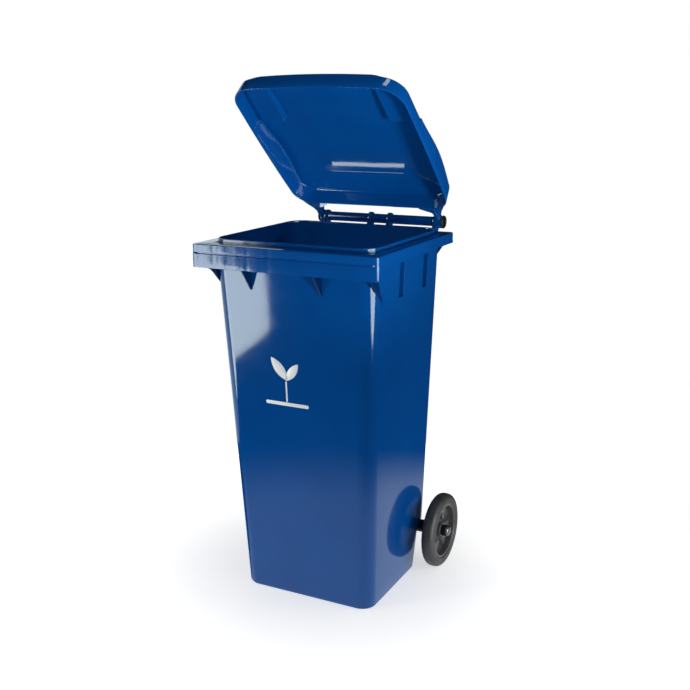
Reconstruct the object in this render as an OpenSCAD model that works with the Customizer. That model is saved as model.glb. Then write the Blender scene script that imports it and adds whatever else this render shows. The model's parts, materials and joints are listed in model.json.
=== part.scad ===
// Two-wheeled wheelie bin, 120 litre size.
// X runs across the bin, the front faces -Y, +Z is up, and the origin is on the ground
// under the middle of the tub's base. All sizes are millimetres and degrees.

/* [Tub] */
// Outside width of the tub just under the collar
tub_top_w = 430; // [424:1:434]
// Outside width of the tub at the ground
tub_base_w = 362; // [350:1:376]
// Distance from the origin to the front wall under the collar
front_top = 217; // [212:1:220]
// Distance from the origin to the front wall at the ground
front_base = 163; // [155:1:175]
// Distance from the origin to the rear wall under the collar
rear_top = 191; // [188:1:192]
// Distance from the origin to the rear wall above the axle step
rear_base = 186; // [183:1:188]
// Thickness of the moulded walls
wall = 4.5; // [3.5:0.5:5.5]

/* [Collar] */
// Width of the comb lip that the lifting comb hooks under
comb_w = 480; // [476:1:484]
// Distance from the origin to the front face of the comb lip
comb_front = 257; // [254:1:260]
// Height of the comb lip's front face
comb_h = 55; // [45:1:62]
// Height of the ledge round the mouth above the ground
ledge_z = 907; // [903:1:909]
// Height of the mouth's rim above the ground
rim_z = 917; // [914:1:919]
// Height of the skirt under the ledge at the sides and rear
skirt_h = 26; // [22:1:30]

/* [Lid] */
// Width of the lid across its lower edge
lid_w = 452; // [446:1:456]
// Distance from the hinge axis to the middle of the lid's front edge
lid_reach = 526; // [520:1:530]
// Height of the lid's upright skirt
lid_skirt = 38; // [32:1:42]
// Height of the lid's crown above the top of the skirt
crown_h = 24; // [18:1:30]
// Angle at which the lid stands open
lid_open = 41.5; // [0:0.5:228]

/* [Hinge] */
// Distance of the hinge axis behind the origin
hinge_y = 280; // [276:1:284]
// Height of the hinge axis above the ground
hinge_z = 920; // [919:1:923]
// Diameter of the handle bar between the lugs
bar_d = 25; // [22:1:28]
// Diameter of the hinge pins
pin_d = 12; // [10:1:14]
// Radial clearance of the lid's eye on the hinge pin
pin_gap = 0.05; // [0.02:0.01:0.1]

/* [Wheels] */
// Outside diameter of the tyres
wheel_d = 200; // [196:2:204]
// Width of the tyres
tyre_w = 38; // [34:1:42]
// Diameter where the tyre sits on the rim
seat_d = 146; // [140:1:152]
// Distance from the origin to the middle of each wheel
wheel_x = 234; // [232:1:238]
// Distance of the axle behind the origin
axle_y = 169; // [166:1:172]
// Diameter of the steel axle
axle_d = 20; // [18:1:21]
// Radial clearance of the hub bush on the axle
axle_gap = 0.05; // [0.02:0.01:0.1]

/* [Hidden] */

$fn = 64;
BLUE = "#0b3f8f";
BLACK = "#17181a";
GREY = "#3a3c3f";
STEEL = "#b9bdc2";

RIGHT = 1;
LEFT = -1;
CORNER_STEPS = 8;    // points along each rounded corner, less one
EDGE_STEPS = 6;      // points along each straight edge, less one
EPS = 0.5;           // overlap that lets joined shapes fuse

// tub
corner_base = 38;    // corner radius at the ground
corner_top = 40;     // corner radius under the collar
base_round = 6;      // rounding between the walls and the base
skirt_z = ledge_z - skirt_h;
step_top = 128;      // height where the rear wall steps in over the axle
step_bottom = 116;   // height where the step ends
notch_top = 152;     // distance of the stepped rear wall at the step
notch_base = 118;    // distance of the stepped rear wall at the ground
rim_half = 212;      // half the outside width of the mouth's rim
rim_front = 219;
rim_rear = 187;
rim_r = 44;
rim_lean = 2.5;      // how far the rim's top edge rounds inward

// collar
collar_rear = 198;
collar_t = 4;
collar_r = 6;
comb_depth = 24;     // how far back the full height of the comb lip reaches at its ends
groove_z = 886;      // height of the groove between the comb lip's two bands
groove_w = 2.4;
groove_depth = 1.2;

// gussets under the comb lip
gusset_t = 4;
gusset_tip = 804;
gusset_xs = [-107, 80];
end_gusset_x = 210;
end_gusset_rear = 176;

// lifting pockets in the side walls
pocket_w = 27;
pocket_ys = [-73, 70];
pocket_z = [784, 866];
pocket_in = 199;     // distance from the middle to the pocket's floor

// hinge
lug_x = [156, 167];  // inner and outer faces of each end lug
eye_x = [167.5, 179];
head_t = 5.5;
head_d = 34;
lug_r = 17;
bracket_xs = [-28, 28];
bracket_t = 10;
pin_in = 112;        // inner end of the pin's shaft

// lid
lid_wall = 3.5;
lid_low = 910;       // height of the lid's lower edge when closed
lid_rear = 210;      // distance of the lid's rear skirt behind the origin when closed
lid_bow = 12.6;      // how far the lid's front edge bows out
lid_r_front = 52;
lid_r_rear = 46;
side_bow = 5;        // how far the lid's sides bow out
arch_h = 15;         // how much taller the skirt is along the middle of the sides
arch_y = 60;         // where the skirt is tallest
arch_half = 132;     // distance from there to where the arch ends
skirt_draft = 3;     // how far the skirt leans in over its height
crown_round = 7;     // rounding between the skirt and the crown
crown_side = 97;     // width of the crown's side slopes
crown_end_front = 100;
crown_end_rear = 86;
crown_fall = 10;     // how much lower the crown is at its front than at its rear
grip_x = 146;        // inner edge of the flat hand grips
grip_y = -90;        // rear edge of the flat hand grips
grip_drop = 3;       // how far the grips lie under the top of the skirt
grip_rim = 2;        // how far the rim round the grips stands above the top of the skirt
grip_in = 14;        // width of the rim round the grips

// wheels
axle_z = wheel_d / 2;
cheek_x = [118, 142];
cheek_r = 20;
spacer_r = 17;
bush_r = 15;
bush_x = [214, 257];
washer_t = 1.5;
cap_d = 27;
cap_t = 6;
tyre_round = 13;
rim_wall = 6;
rim_w = 32;
web_t = 5;
web_in = 3;          // distance of the web's middle inward of the wheel's middle
hub_r = 19;

// ---- outlines and lofts ----

function mix(a, b, t) = a + (b - a) * t;

// Points of a quarter circle, anticlockwise from angle a.
function corner(cx, cy, r, a) =
    [for (k = [0:CORNER_STEPS]) [cx + r * cos(a + 90 * k / CORNER_STEPS), cy + r * sin(a + 90 * k / CORNER_STEPS)]];

// Inner points of the straight edge from p to q.
function edge(p, q) = [for (k = [1:EDGE_STEPS - 1]) mix(p, q, k / EDGE_STEPS)];

// A rounded rectangle, anticlockwise from above; rf and rr are its front and rear corner radii.
function outline(half, front, rear, rf, rr) = concat(
    corner(half - rf, front + rf, rf, -90),
    corner(half - rr, rear - rr, rr, 0),
    corner(-half + rr, rear - rr, rr, 90),
    corner(-half + rf, front + rf, rf, 180));

function at_height(points, z) = [for (p = points) [p[0], p[1], z]];

// A solid through rings that hold the same number of points each, from the lowest up.
module loft(rings) {
    n = len(rings[0]);
    m = len(rings);
    sides = [for (j = [0:m - 2], k = [0:n - 1])
        let (a = j * n + k, b = j * n + (k + 1) % n) each [[a, a + n, b + n], [a, b + n, b]]];
    polyhedron(
        points = [for (r = rings) each r],
        faces = concat([[for (k = [0:n - 1]) k]], [[for (k = [n - 1:-1:0]) (m - 1) * n + k]], sides));
}

// A plate with its outline in the YZ plane, between x = x0 and x = x1.
module plate_yz(x0, x1) {
    translate([x0, 0, 0])
        rotate([90, 0, 90])
            linear_extrude(x1 - x0) children();
}

// A solid of revolution about the X axis; the profile holds [x, radius] points.
module turned_x(profile) {
    rotate([0, 90, 0])
        rotate_extrude($fn = 96)
            polygon([for (p = profile) [p[1], p[0]]]);
}

// A cylinder along X from x0 to x1.
module rod_x(x0, x1, r) {
    translate([min(x0, x1), 0, 0])
        rotate([0, 90, 0])
            cylinder(h = abs(x1 - x0), r = r);
}

// Puts its children on the right side, or mirrors them to the left.
module on_side(side) {
    if (side == RIGHT) children();
    else mirror([1, 0, 0]) children();
}

// ---- tub ----

function tub_half(z) = mix(tub_base_w / 2, tub_top_w / 2, z / skirt_z);
function tub_front(z) = -mix(front_base, front_top, z / skirt_z);
function tub_rear(z) =
    z >= step_top ? mix(rear_base, rear_top, (z - step_top) / (skirt_z - step_top))
    : z >= step_bottom ? mix(notch_top, rear_base, (z - step_bottom) / (step_top - step_bottom))
    : mix(notch_base, notch_top, z / step_bottom);
function tub_corner(z) = mix(corner_base, corner_top, z / skirt_z);
function rear_corner(z) = z >= step_top ? tub_corner(z) : mix(14, 30, max(z, 0) / step_top);

// The tub's outline at height z, pulled in by inset, with its rear wall read at rear_at.
function tub_ring(z, inset, rear_at) = at_height(
    outline(tub_half(z) - inset, tub_front(z) + inset, tub_rear(rear_at) - inset,
        max(tub_corner(z) - inset, 4), max(rear_corner(rear_at) - inset, 4)), z);

function rim_ring(z, inset) = at_height(
    outline(rim_half - inset, -rim_front + inset, rim_rear - inset, rim_r - inset, rim_r - inset), z);

module tub_outside() {
    loft([
        for (k = [0:3]) tub_ring(base_round * (1 - cos(30 * k)), base_round * (1 - sin(30 * k)), 0),
        for (z = [50, step_bottom, step_top, 240, 450, 660, skirt_z]) tub_ring(z, 0, z),
        rim_ring(ledge_z, 0),
        rim_ring(rim_z - rim_lean, 0),
        rim_ring(rim_z, rim_lean)]);
}

module tub_inside() {
    inner_zs = [wall + 4, 50, step_bottom + wall, step_top + wall, 240, 450, 660, skirt_z];
    loft([
        tub_ring(wall, wall + 4, 0),
        for (z = inner_zs) tub_ring(z, wall, z - wall),
        rim_ring(ledge_z, wall),
        rim_ring(rim_z + 1, wall)]);
}

module side_pockets(grow) {
    for (side = [RIGHT, LEFT], y = pocket_ys)
        on_side(side)
            translate([pocket_in - grow, y - grow, pocket_z[0] - grow])
                cube([40, pocket_w + 2 * grow, pocket_z[1] - pocket_z[0] + 2 * grow]);
}

module collar_outline(inset) {
    offset_r = max(collar_r - inset, 1);
    polygon(outline(comb_w / 2 - inset, -comb_front + inset, collar_rear - inset, offset_r, offset_r));
}

module collar() {
    lip_z = ledge_z - comb_h;
    difference() {
        union() {
            translate([0, 0, skirt_z])
                linear_extrude(skirt_h) collar_outline(0);
            intersection() {
                translate([0, 0, lip_z])
                    linear_extrude(comb_h) collar_outline(0);
                translate([-comb_w, -comb_front - 1, lip_z - 1])
                    cube([2 * comb_w, comb_depth + 1, comb_h + 1]);
            }
        }
        translate([0, 0, lip_z - 1])
            linear_extrude(comb_h + 1 - collar_t) collar_outline(collar_t);
        translate([-comb_w / 2 + 12, -comb_front - 1, groove_z - groove_w / 2])
            cube([comb_w - 24, 1 + groove_depth, groove_w]);
    }
}

module gussets() {
    for (x = gusset_xs)
        plate_yz(x - gusset_t / 2, x + gusset_t / 2)
            polygon([[-comb_front + 2, ledge_z - comb_h + 2], [-front_top + 6, gusset_tip],
                [-front_top + 6, ledge_z - 2], [-comb_front + 2, ledge_z - 2]]);
    for (side = [RIGHT, LEFT])
        on_side(side)
            plate_yz(end_gusset_x - gusset_t / 2, end_gusset_x + gusset_t / 2)
                polygon([[-comb_front + 4, ledge_z - 2], [-comb_front + 4, ledge_z - comb_h + 2],
                    [-end_gusset_rear - 38, 841], [-end_gusset_rear, gusset_tip],
                    [-end_gusset_rear + 6, gusset_tip], [-end_gusset_rear + 6, ledge_z - 2]]);
}

// Side view of a bracket that carries the handle bar behind the collar.
module bracket_outline() {
    translate([hinge_y, hinge_z]) circle(r = lug_r);
    polygon([[rear_top - 3, skirt_z + 2], [collar_rear, skirt_z + 2], [240, 885], [256, 890],
        [hinge_y - lug_r * 0.94, hinge_z - 6], [hinge_y + lug_r * 0.97, hinge_z - 4],
        [290, 894], [274, 877], [248, 870], [214, 866], [rear_top - 3, 846]]);
}

module handle() {
    translate([0, hinge_y, hinge_z]) rod_x(-lug_x[0] - EPS, lug_x[0] + EPS, bar_d / 2);
    for (side = [RIGHT, LEFT])
        on_side(side)
            plate_yz(lug_x[0], lug_x[1]) bracket_outline();
    for (x = bracket_xs)
        plate_yz(x - bracket_t / 2, x + bracket_t / 2) bracket_outline();
}

// The cheeks that hold the axle in the step under the rear wall.
module axle_cheeks() {
    for (side = [RIGHT, LEFT])
        on_side(side)
            plate_yz(cheek_x[0], cheek_x[1]) {
                translate([axle_y, axle_z]) circle(r = cheek_r);
                polygon([[notch_base - 2, 40], [axle_y - cheek_r * 0.3, axle_z - cheek_r * 0.95],
                    [axle_y + cheek_r, axle_z], [rear_base - 2, step_top + 4], [notch_base - 2, step_top + 4]]);
            }
}

module tub() {
    color(BLUE)
        difference() {
            union() {
                difference() {
                    tub_outside();
                    side_pockets(0);
                }
                collar();
                gussets();
                handle();
                axle_cheeks();
            }
            difference() {
                tub_inside();
                side_pockets(wall);
            }
            for (side = [RIGHT, LEFT])
                on_side(side)
                    translate([0, hinge_y, hinge_z]) rod_x(pin_in, lug_x[1] + 1, pin_d / 2);
            translate([0, axle_y, axle_z]) rod_x(-cheek_x[1] - 1, cheek_x[1] + 1, axle_d / 2);
        }
}

// ---- lid, drawn closed and then turned open ----

lid_front = hinge_y - lid_reach + lid_bow;
lid_mid = (lid_front + lid_rear) / 2;

// Moves a point outward, most in the middle of the front edge and of the sides, to bow them.
function bowed(p, half) =
    let (ahead = max(0, (lid_mid - p[1]) / (lid_mid - lid_front)), across = p[0] / half)
    let (along = (p[1] - lid_mid) / (lid_mid - lid_front))
    [p[0] - side_bow * across * along * along, p[1] - lid_bow * ahead * (1 - across * across)];

// How much the lid's skirt and crown stand up at distance y, above their height at the ends.
function arch(y) = arch_h * max(0, 1 - pow((y - arch_y) / arch_half, 2));

// The lid's outline at height z, pulled in by side, front and rear; rise is the share of the arch
// that it takes, and fall is how far its front edge lies under its rear edge.
function lid_ring(z, side, front, rear, rise, fall) =
    let (half = lid_w / 2 - side)
    let (y0 = lid_front + front, r0 = max(lid_r_front - min(side, front), 8))
    let (r1 = max(lid_r_rear - min(side, rear), 8), x0 = half - r0, y1 = lid_rear - rear)
    let (points = concat(edge([-x0, y0], [x0, y0]), corner(x0, y0 + r0, r0, -90),
        edge([half, y0 + r0], [half, y1 - r1]), corner(half - r1, y1 - r1, r1, 0),
        corner(-half + r1, y1 - r1, r1, 90), edge([-half, y1 - r1], [-half, y0 + r0]),
        corner(-x0, y0 + r0, r0, 180)))
    [for (p = points) let (q = bowed(p, half))
        [q[0], q[1], z + rise * arch(q[1]) - fall * (y1 - q[1]) / (y1 - y0)]];

module lid_solid(inset, low) {
    top = lid_low + lid_skirt;
    edge_in = skirt_draft + inset;
    round_in = skirt_draft + crown_round + inset;
    loft([
        lid_ring(low, inset, inset, inset, 0, 0),
        lid_ring(top - inset / 2, edge_in, edge_in, edge_in, 1, 0),
        lid_ring(top + crown_round - inset, round_in, round_in, round_in, 1, 0),
        lid_ring(top + crown_h - inset, crown_side + inset, crown_end_front + inset,
            crown_end_rear + inset, 0, crown_fall)]);
}

// The blocks cut from the crown's front corners, which leave the hand grips with a low rim round them.
module grip_cuts(grow) {
    top = lid_low + lid_skirt;
    r = lid_r_front - grip_in + grow;
    x1 = lid_w / 2 - grip_in + grow;
    y0 = lid_front + grip_in - grow;
    for (side = [RIGHT, LEFT])
        on_side(side) {
            translate([grip_x - grow, lid_front - 20, top + grip_rim - grow])
                cube([120, grip_y - lid_front + 20 + grow, 80]);
            translate([0, 0, top - grip_drop - grow])
                linear_extrude(80)
                    polygon(concat([[x1, grip_y + grow], [grip_x - grow, grip_y + grow], [grip_x - grow, y0]],
                        corner(x1 - r, y0 + r, r, -90)));
        }
}

module arm_outline() {
    translate([hinge_y, hinge_z]) circle(r = lug_r);
    polygon([[lid_rear - 6, lid_low], [lid_rear + 26, lid_low], [hinge_y - lug_r * 0.5, hinge_z - lug_r * 0.86],
        [hinge_y + lug_r * 0.6, hinge_z + lug_r * 0.8], [lid_rear + 16, lid_low + 33], [lid_rear - 6, lid_low + 35]]);
}

module lid() {
    color(BLUE)
        translate([0, hinge_y, hinge_z])
            rotate([-lid_open, 0, 0])
                translate([0, -hinge_y, -hinge_z])
                    difference() {
                        union() {
                            difference() {
                                lid_solid(0, lid_low);
                                grip_cuts(0);
                            }
                            for (side = [RIGHT, LEFT])
                                on_side(side)
                                    plate_yz(eye_x[0], eye_x[1]) arm_outline();
                        }
                        difference() {
                            lid_solid(lid_wall, lid_low - 1);
                            grip_cuts(lid_wall);
                        }
                        translate([0, hinge_y, hinge_z])
                            rod_x(-eye_x[1] - 1, eye_x[1] + 1, pin_d / 2 + pin_gap);
                    }
}

// ---- hinge pins ----

module hinge_pin(side) {
    head_x = eye_x[1] + EPS;
    color(BLACK)
        on_side(side)
            translate([0, hinge_y, hinge_z])
                turned_x([[pin_in, 0], [pin_in, pin_d / 2], [head_x, pin_d / 2], [head_x, head_d / 2],
                    [head_x + head_t - 2, head_d / 2], [head_x + head_t, head_d / 2 - 2], [head_x + head_t, 0]]);
}

module hinge_pin_left() { hinge_pin(LEFT); }
module hinge_pin_right() { hinge_pin(RIGHT); }

// ---- axle and wheels ----

washer_x = bush_x[1];
axle_end = washer_x + washer_t;

module axle() {
    color(STEEL)
        translate([0, axle_y, axle_z])
            rod_x(-axle_end, axle_end, axle_d / 2);
}

// A sleeve on the axle, from x0 to x1, with a bore of radius bore.
module sleeve(side, x0, x1, r, bore) {
    on_side(side)
        translate([0, axle_y, axle_z])
            turned_x([[x0, bore], [x0, r], [x1, r], [x1, bore]]);
}

module axle_spacer(side) {
    color(BLACK) sleeve(side, cheek_x[1], bush_x[0] - EPS, spacer_r, axle_d / 2);
}

module hub_bush(side) {
    color(BLACK) sleeve(side, bush_x[0], bush_x[1] - EPS, bush_r, axle_d / 2 + axle_gap);
}

module hub_washer(side) {
    color(STEEL) sleeve(side, washer_x, axle_end, bush_r - 1, axle_d / 2);
}

module axle_cap(side) {
    r = cap_d / 2;
    color(STEEL)
        on_side(side)
            translate([0, axle_y, axle_z])
                turned_x([[axle_end, 0], [axle_end, r], [axle_end + cap_t * 0.4, r],
                    [axle_end + cap_t * 0.75, r * 0.82], [axle_end + cap_t, r * 0.45], [axle_end + cap_t, 0]]);
}

module wheel_rim(side) {
    web_x = wheel_x - web_in;
    r_seat = seat_d / 2;
    r_in = r_seat - rim_wall;
    half = rim_w / 2;
    color(GREY)
        on_side(side)
            translate([0, axle_y, axle_z])
                turned_x([[bush_x[0] + 1, bush_r], [bush_x[0] + 1, hub_r], [web_x - web_t / 2, hub_r + 3],
                    [web_x - web_t / 2, r_in - 6], [wheel_x - half, r_in], [wheel_x - half, r_seat],
                    [wheel_x + half, r_seat], [wheel_x + half, r_in], [web_x + web_t / 2, r_in - 6],
                    [web_x + web_t / 2, hub_r + 3], [web_x + web_t / 2 + 4, hub_r], [web_x + web_t / 2 + 4, bush_r]]);
}

module tyre(side) {
    half = tyre_w / 2;
    r_out = wheel_d / 2;
    r_seat = seat_d / 2;
    shoulder = [for (a = [0:15:90])
        [wheel_x + half - tyre_round + tyre_round * sin(a), r_out - tyre_round + tyre_round * cos(a)]];
    inner_shoulder = [for (a = [-90:15:0])
        [wheel_x - half + tyre_round + tyre_round * sin(a), r_out - tyre_round + tyre_round * cos(a)]];
    color(BLACK)
        on_side(side)
            translate([0, axle_y, axle_z])
                turned_x(concat([[wheel_x - half + 3, r_seat], [wheel_x - half, r_seat + 5]], inner_shoulder,
                    shoulder, [[wheel_x + half, r_seat + 5], [wheel_x + half - 3, r_seat]]));
}

module axle_spacer_left() { axle_spacer(LEFT); }
module axle_spacer_right() { axle_spacer(RIGHT); }
module wheel_rim_left() { wheel_rim(LEFT); }
module wheel_rim_right() { wheel_rim(RIGHT); }
module tyre_left() { tyre(LEFT); }
module tyre_right() { tyre(RIGHT); }
module hub_bush_left() { hub_bush(LEFT); }
module hub_bush_right() { hub_bush(RIGHT); }
module hub_washer_left() { hub_washer(LEFT); }
module hub_washer_right() { hub_washer(RIGHT); }
module axle_cap_left() { axle_cap(LEFT); }
module axle_cap_right() { axle_cap(RIGHT); }

tub();
lid();
hinge_pin_left();
hinge_pin_right();
axle();
axle_spacer_left();
axle_spacer_right();
wheel_rim_left();
wheel_rim_right();
tyre_left();
tyre_right();
hub_bush_left();
hub_bush_right();
hub_washer_left();
hub_washer_right();
axle_cap_left();
axle_cap_right();
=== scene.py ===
import json
import math
import bmesh
import bpy
from mathutils import Matrix, Vector


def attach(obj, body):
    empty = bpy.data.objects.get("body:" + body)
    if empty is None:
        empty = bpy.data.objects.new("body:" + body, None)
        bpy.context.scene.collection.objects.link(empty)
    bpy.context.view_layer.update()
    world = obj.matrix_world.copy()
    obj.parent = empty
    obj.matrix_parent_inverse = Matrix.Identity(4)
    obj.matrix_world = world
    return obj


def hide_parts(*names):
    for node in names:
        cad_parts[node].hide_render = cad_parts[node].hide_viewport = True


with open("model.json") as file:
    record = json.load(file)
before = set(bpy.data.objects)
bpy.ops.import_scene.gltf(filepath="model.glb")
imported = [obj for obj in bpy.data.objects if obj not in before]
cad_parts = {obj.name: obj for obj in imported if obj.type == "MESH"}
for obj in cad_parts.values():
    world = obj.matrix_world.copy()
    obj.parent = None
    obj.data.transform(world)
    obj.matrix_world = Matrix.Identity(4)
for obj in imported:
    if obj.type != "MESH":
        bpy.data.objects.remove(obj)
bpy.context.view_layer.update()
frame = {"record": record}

MM = 0.001
RIGHT = 1
LEFT = -1
SIDES = (LEFT, RIGHT)
ROOT = "root"

# ---- sizes, in millimetres as in the CAD ----

joints = {j["name"]: j for j in frame["record"]["behaviour"]["joints"]}
hinge_y, hinge_z = (v / MM for v in joints["lid_hinge"]["pos_m"][1:])
axle_y, axle_z = (v / MM for v in joints["wheel_right_spin"]["pos_m"][1:])
lid_open = -joints["lid_hinge"]["range_deg"][0]

WALL = 4.5
BASE_HALF, TOP_HALF = 181.0, 215.0
BASE_FRONT, TOP_FRONT = 163.0, 217.0
BASE_REAR, TOP_REAR = 186.0, 191.0
BASE_CORNER, TOP_CORNER = 38.0, 40.0
NOTCH_BASE, NOTCH_TOP = 118.0, 152.0
STEP_BOTTOM, STEP_TOP = 116.0, 128.0
SKIRT_Z, LEDGE_Z = 881.0, 907.0
RIM_HALF, RIM_FRONT, RIM_REAR, RIM_R = 212.0, 219.0, 187.0, 44.0
COMB_HALF, COMB_FRONT, COLLAR_REAR = 243.5, 257.0, 198.0
COMB_BOTTOM, COMB_BACK = 852.0, 233.0
GROOVE_Z = 886.0
POCKET_YS = ((-73.0, -46.0), (70.0, 97.0))
POCKET_Z = (784.0, 866.0)
POCKET_IN = 199.0


def mix(a, b, t):
    return a + (b - a) * t


def clamp(v, low=0.0, high=1.0):
    return max(low, min(high, v))


def smooth(t):
    t = clamp(t)
    return t * t * (3 - 2 * t)


# ---- materials ----

def new_material(name):
    m = bpy.data.materials.new(name)
    m.use_nodes = True
    return m, m.node_tree.nodes, m.node_tree.links, m.node_tree.nodes["Principled BSDF"]


NOISE_LOW, NOISE_HIGH = 0.3, 0.7        # the part of a noise's range that a ramp spans
PATCHES = (7.0, 4.0)                    # scale and detail of the colour variation
SCUFFS = (45.0, 6.0)                    # scale and detail of the roughness variation
PLASTIC_SPREAD, METAL_SPREAD = (0.8, 1.25), (0.7, 1.4)
METAL_STREAKS, METAL_RELIEF, METAL_SHADE = (220.0, 5.0), 0.00003, 0.8


def noise(nodes, links, scale, detail=3.0, stretch=(1, 1, 1)):
    coord = nodes.new("ShaderNodeTexCoord")
    mapping = nodes.new("ShaderNodeMapping")
    mapping.inputs["Scale"].default_value = stretch
    tex = nodes.new("ShaderNodeTexNoise")
    tex.inputs["Scale"].default_value = scale
    tex.inputs["Detail"].default_value = detail
    links.new(coord.outputs["Object"], mapping.inputs["Vector"])
    links.new(mapping.outputs["Vector"], tex.inputs["Vector"])
    return tex


def map_range(nodes, links, source, from_min, from_max, to_min, to_max):
    r = nodes.new("ShaderNodeMapRange")
    r.inputs["From Min"].default_value, r.inputs["From Max"].default_value = from_min, from_max
    r.inputs["To Min"].default_value, r.inputs["To Max"].default_value = to_min, to_max
    links.new(source, r.inputs["Value"])
    return r


def roughness(nodes, links, source, rough, spread):
    """Varies a roughness about a value with a noise."""
    low, high = spread
    return map_range(nodes, links, source.outputs["Fac"], NOISE_LOW, NOISE_HIGH, rough * low, rough * high)


def bump(nodes, links, source, distance, previous=None):
    b = nodes.new("ShaderNodeBump")
    b.inputs["Strength"].default_value = 1.0
    b.inputs["Distance"].default_value = distance
    links.new(source.outputs["Fac"], b.inputs["Height"])
    if previous:
        links.new(previous.outputs["Normal"], b.inputs["Normal"])
    return b


def colour_mix(nodes, links, source, dark, light):
    c = nodes.new("ShaderNodeValToRGB")
    c.color_ramp.elements[0].position = NOISE_LOW
    c.color_ramp.elements[0].color = (*dark, 1)
    c.color_ramp.elements[1].position = NOISE_HIGH
    c.color_ramp.elements[1].color = (*light, 1)
    links.new(source.outputs["Fac"], c.inputs["Fac"])
    return c


def plastic(name, dark, light, rough, gloss, waves, grain):
    """A moulded plastic; waves are (scale, height, stretch) and grain is (scale, height), in metres."""
    m, nodes, links, b = new_material(name)
    patches = noise(nodes, links, *PATCHES)
    tint = colour_mix(nodes, links, patches, dark, light)
    links.new(tint.outputs["Color"], b.inputs["Base Color"])
    scuffs = noise(nodes, links, *SCUFFS)
    scuffed = roughness(nodes, links, scuffs, rough, PLASTIC_SPREAD)
    links.new(scuffed.outputs["Result"], b.inputs["Roughness"])
    b.inputs["Specular IOR Level"].default_value = gloss
    wave_scale, wave_height, stretch = waves
    grain_scale, grain_height = grain
    wave = bump(nodes, links, noise(nodes, links, wave_scale, 1.0, stretch), wave_height)
    fine = bump(nodes, links, noise(nodes, links, grain_scale, 2.0), grain_height, wave)
    links.new(fine.outputs["Normal"], b.inputs["Normal"])
    return m


def metal(name, colour, rough, stretch):
    m, nodes, links, b = new_material(name)
    streaks = noise(nodes, links, *METAL_STREAKS, stretch)
    tint = colour_mix(nodes, links, streaks, tuple(c * METAL_SHADE for c in colour), colour)
    links.new(tint.outputs["Color"], b.inputs["Base Color"])
    brushed = roughness(nodes, links, streaks, rough, METAL_SPREAD)
    links.new(brushed.outputs["Result"], b.inputs["Roughness"])
    b.inputs["Metallic"].default_value = 1.0
    links.new(bump(nodes, links, streaks, METAL_RELIEF).outputs["Normal"], b.inputs["Normal"])
    return m


EVEN = (1, 1, 1)
HDPE_DARK, HDPE_LIGHT = (0.0006, 0.056, 0.245), (0.0010, 0.064, 0.270)
HDPE_GLOSS = 0.42
WALL_WAVES = (7.0, 0.0006, (1, 1, 0.35))
LIP_WAVES = (38.0, 0.0002, (1, 1, 0.12))
FINE_GRAIN = (700.0, 0.000002)

BLUE = plastic("blue_hdpe", HDPE_DARK, HDPE_LIGHT, 0.07, HDPE_GLOSS, WALL_WAVES, FINE_GRAIN)
COMB_BLUE = plastic("blue_hdpe_comb", HDPE_DARK, HDPE_LIGHT, 0.09, HDPE_GLOSS, LIP_WAVES, FINE_GRAIN)
# the gussets are the tub's blue plastic, painted darker here as painted shade for the shadow they sit in
# under the comb lip and the ledge
SHADED_RIB_BLUE = plastic("blue_hdpe_ribs_painted_shade", (0.0004, 0.019, 0.088), (0.0006, 0.023, 0.102), 0.16, 0.35,
    WALL_WAVES, FINE_GRAIN)
BLACK = plastic("black_plastic", (0.0025, 0.0025, 0.003), (0.006, 0.006, 0.007), 0.42, 0.3,
    (30.0, 0.0002, EVEN), (700.0, 0.00004))
RIM_GREY = plastic("rim_plastic", (0.072, 0.068, 0.072), (0.100, 0.095, 0.100), 0.34, 0.45,
    (20.0, 0.0002, EVEN), (800.0, 0.00002))
RUBBER = plastic("tyre_rubber", (0.033, 0.029, 0.0315), (0.062, 0.055, 0.060), 0.55, 0.5,
    (60.0, 0.0003, EVEN), (1100.0, 0.00006))
PAINT = plastic("mark_paint", (0.72, 0.74, 0.76), (0.80, 0.82, 0.84), 0.4, 0.4,
    (20.0, 0.0001, EVEN), (900.0, 0.00002))
STEEL = metal("axle_steel", (0.52, 0.53, 0.55), 0.32, (0.1, 1, 1))
BRIGHT = metal("bright_cap", (0.22, 0.225, 0.245), 0.33, EVEN)


# ---- making pieces ----

WELD = 0.002                            # points closer than this become one


def finish_piece(name, bm, material, body, nodes=(), sharp=32.0, bevel=0.0):
    """Turns a bmesh in millimetres into a smooth-shaded piece that rides on a body."""
    bmesh.ops.remove_doubles(bm, verts=bm.verts, dist=WELD)
    bmesh.ops.dissolve_degenerate(bm, edges=bm.edges, dist=WELD)
    bmesh.ops.recalc_face_normals(bm, faces=bm.faces)
    bmesh.ops.scale(bm, vec=(MM, MM, MM), verts=bm.verts)
    mesh = bpy.data.meshes.new(name)
    bm.to_mesh(mesh)
    bm.free()
    mesh.shade_smooth()
    mesh.set_sharp_from_angle(angle=math.radians(sharp))
    mesh.materials.append(material)
    obj = bpy.data.objects.new(name, mesh)
    bpy.context.scene.collection.objects.link(obj)
    if bevel:
        mod = obj.modifiers.new("edges", "BEVEL")
        mod.width = bevel * MM
        mod.segments = 2
        mod.limit_method = "ANGLE"
        mod.angle_limit = math.radians(sharp)
        mod.harden_normals = True
    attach(obj, body)
    if nodes:
        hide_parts(*nodes)
    return obj


def add_ring(bm, points):
    return [bm.verts.new(p) for p in points]


def join_rings(bm, a, b):
    n = len(a)
    for k in range(n):
        j = (k + 1) % n
        bm.faces.new((a[k], a[j], b[j], b[k]))


def solid_of_rings(rings):
    """A capped bmesh through closed rings of the same count of points."""
    bm = bmesh.new()
    made = [add_ring(bm, r) for r in rings]
    for a, b in zip(made, made[1:]):
        join_rings(bm, a, b)
    bm.faces.new(list(reversed(made[0])))
    bm.faces.new(made[-1])
    return bm


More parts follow.
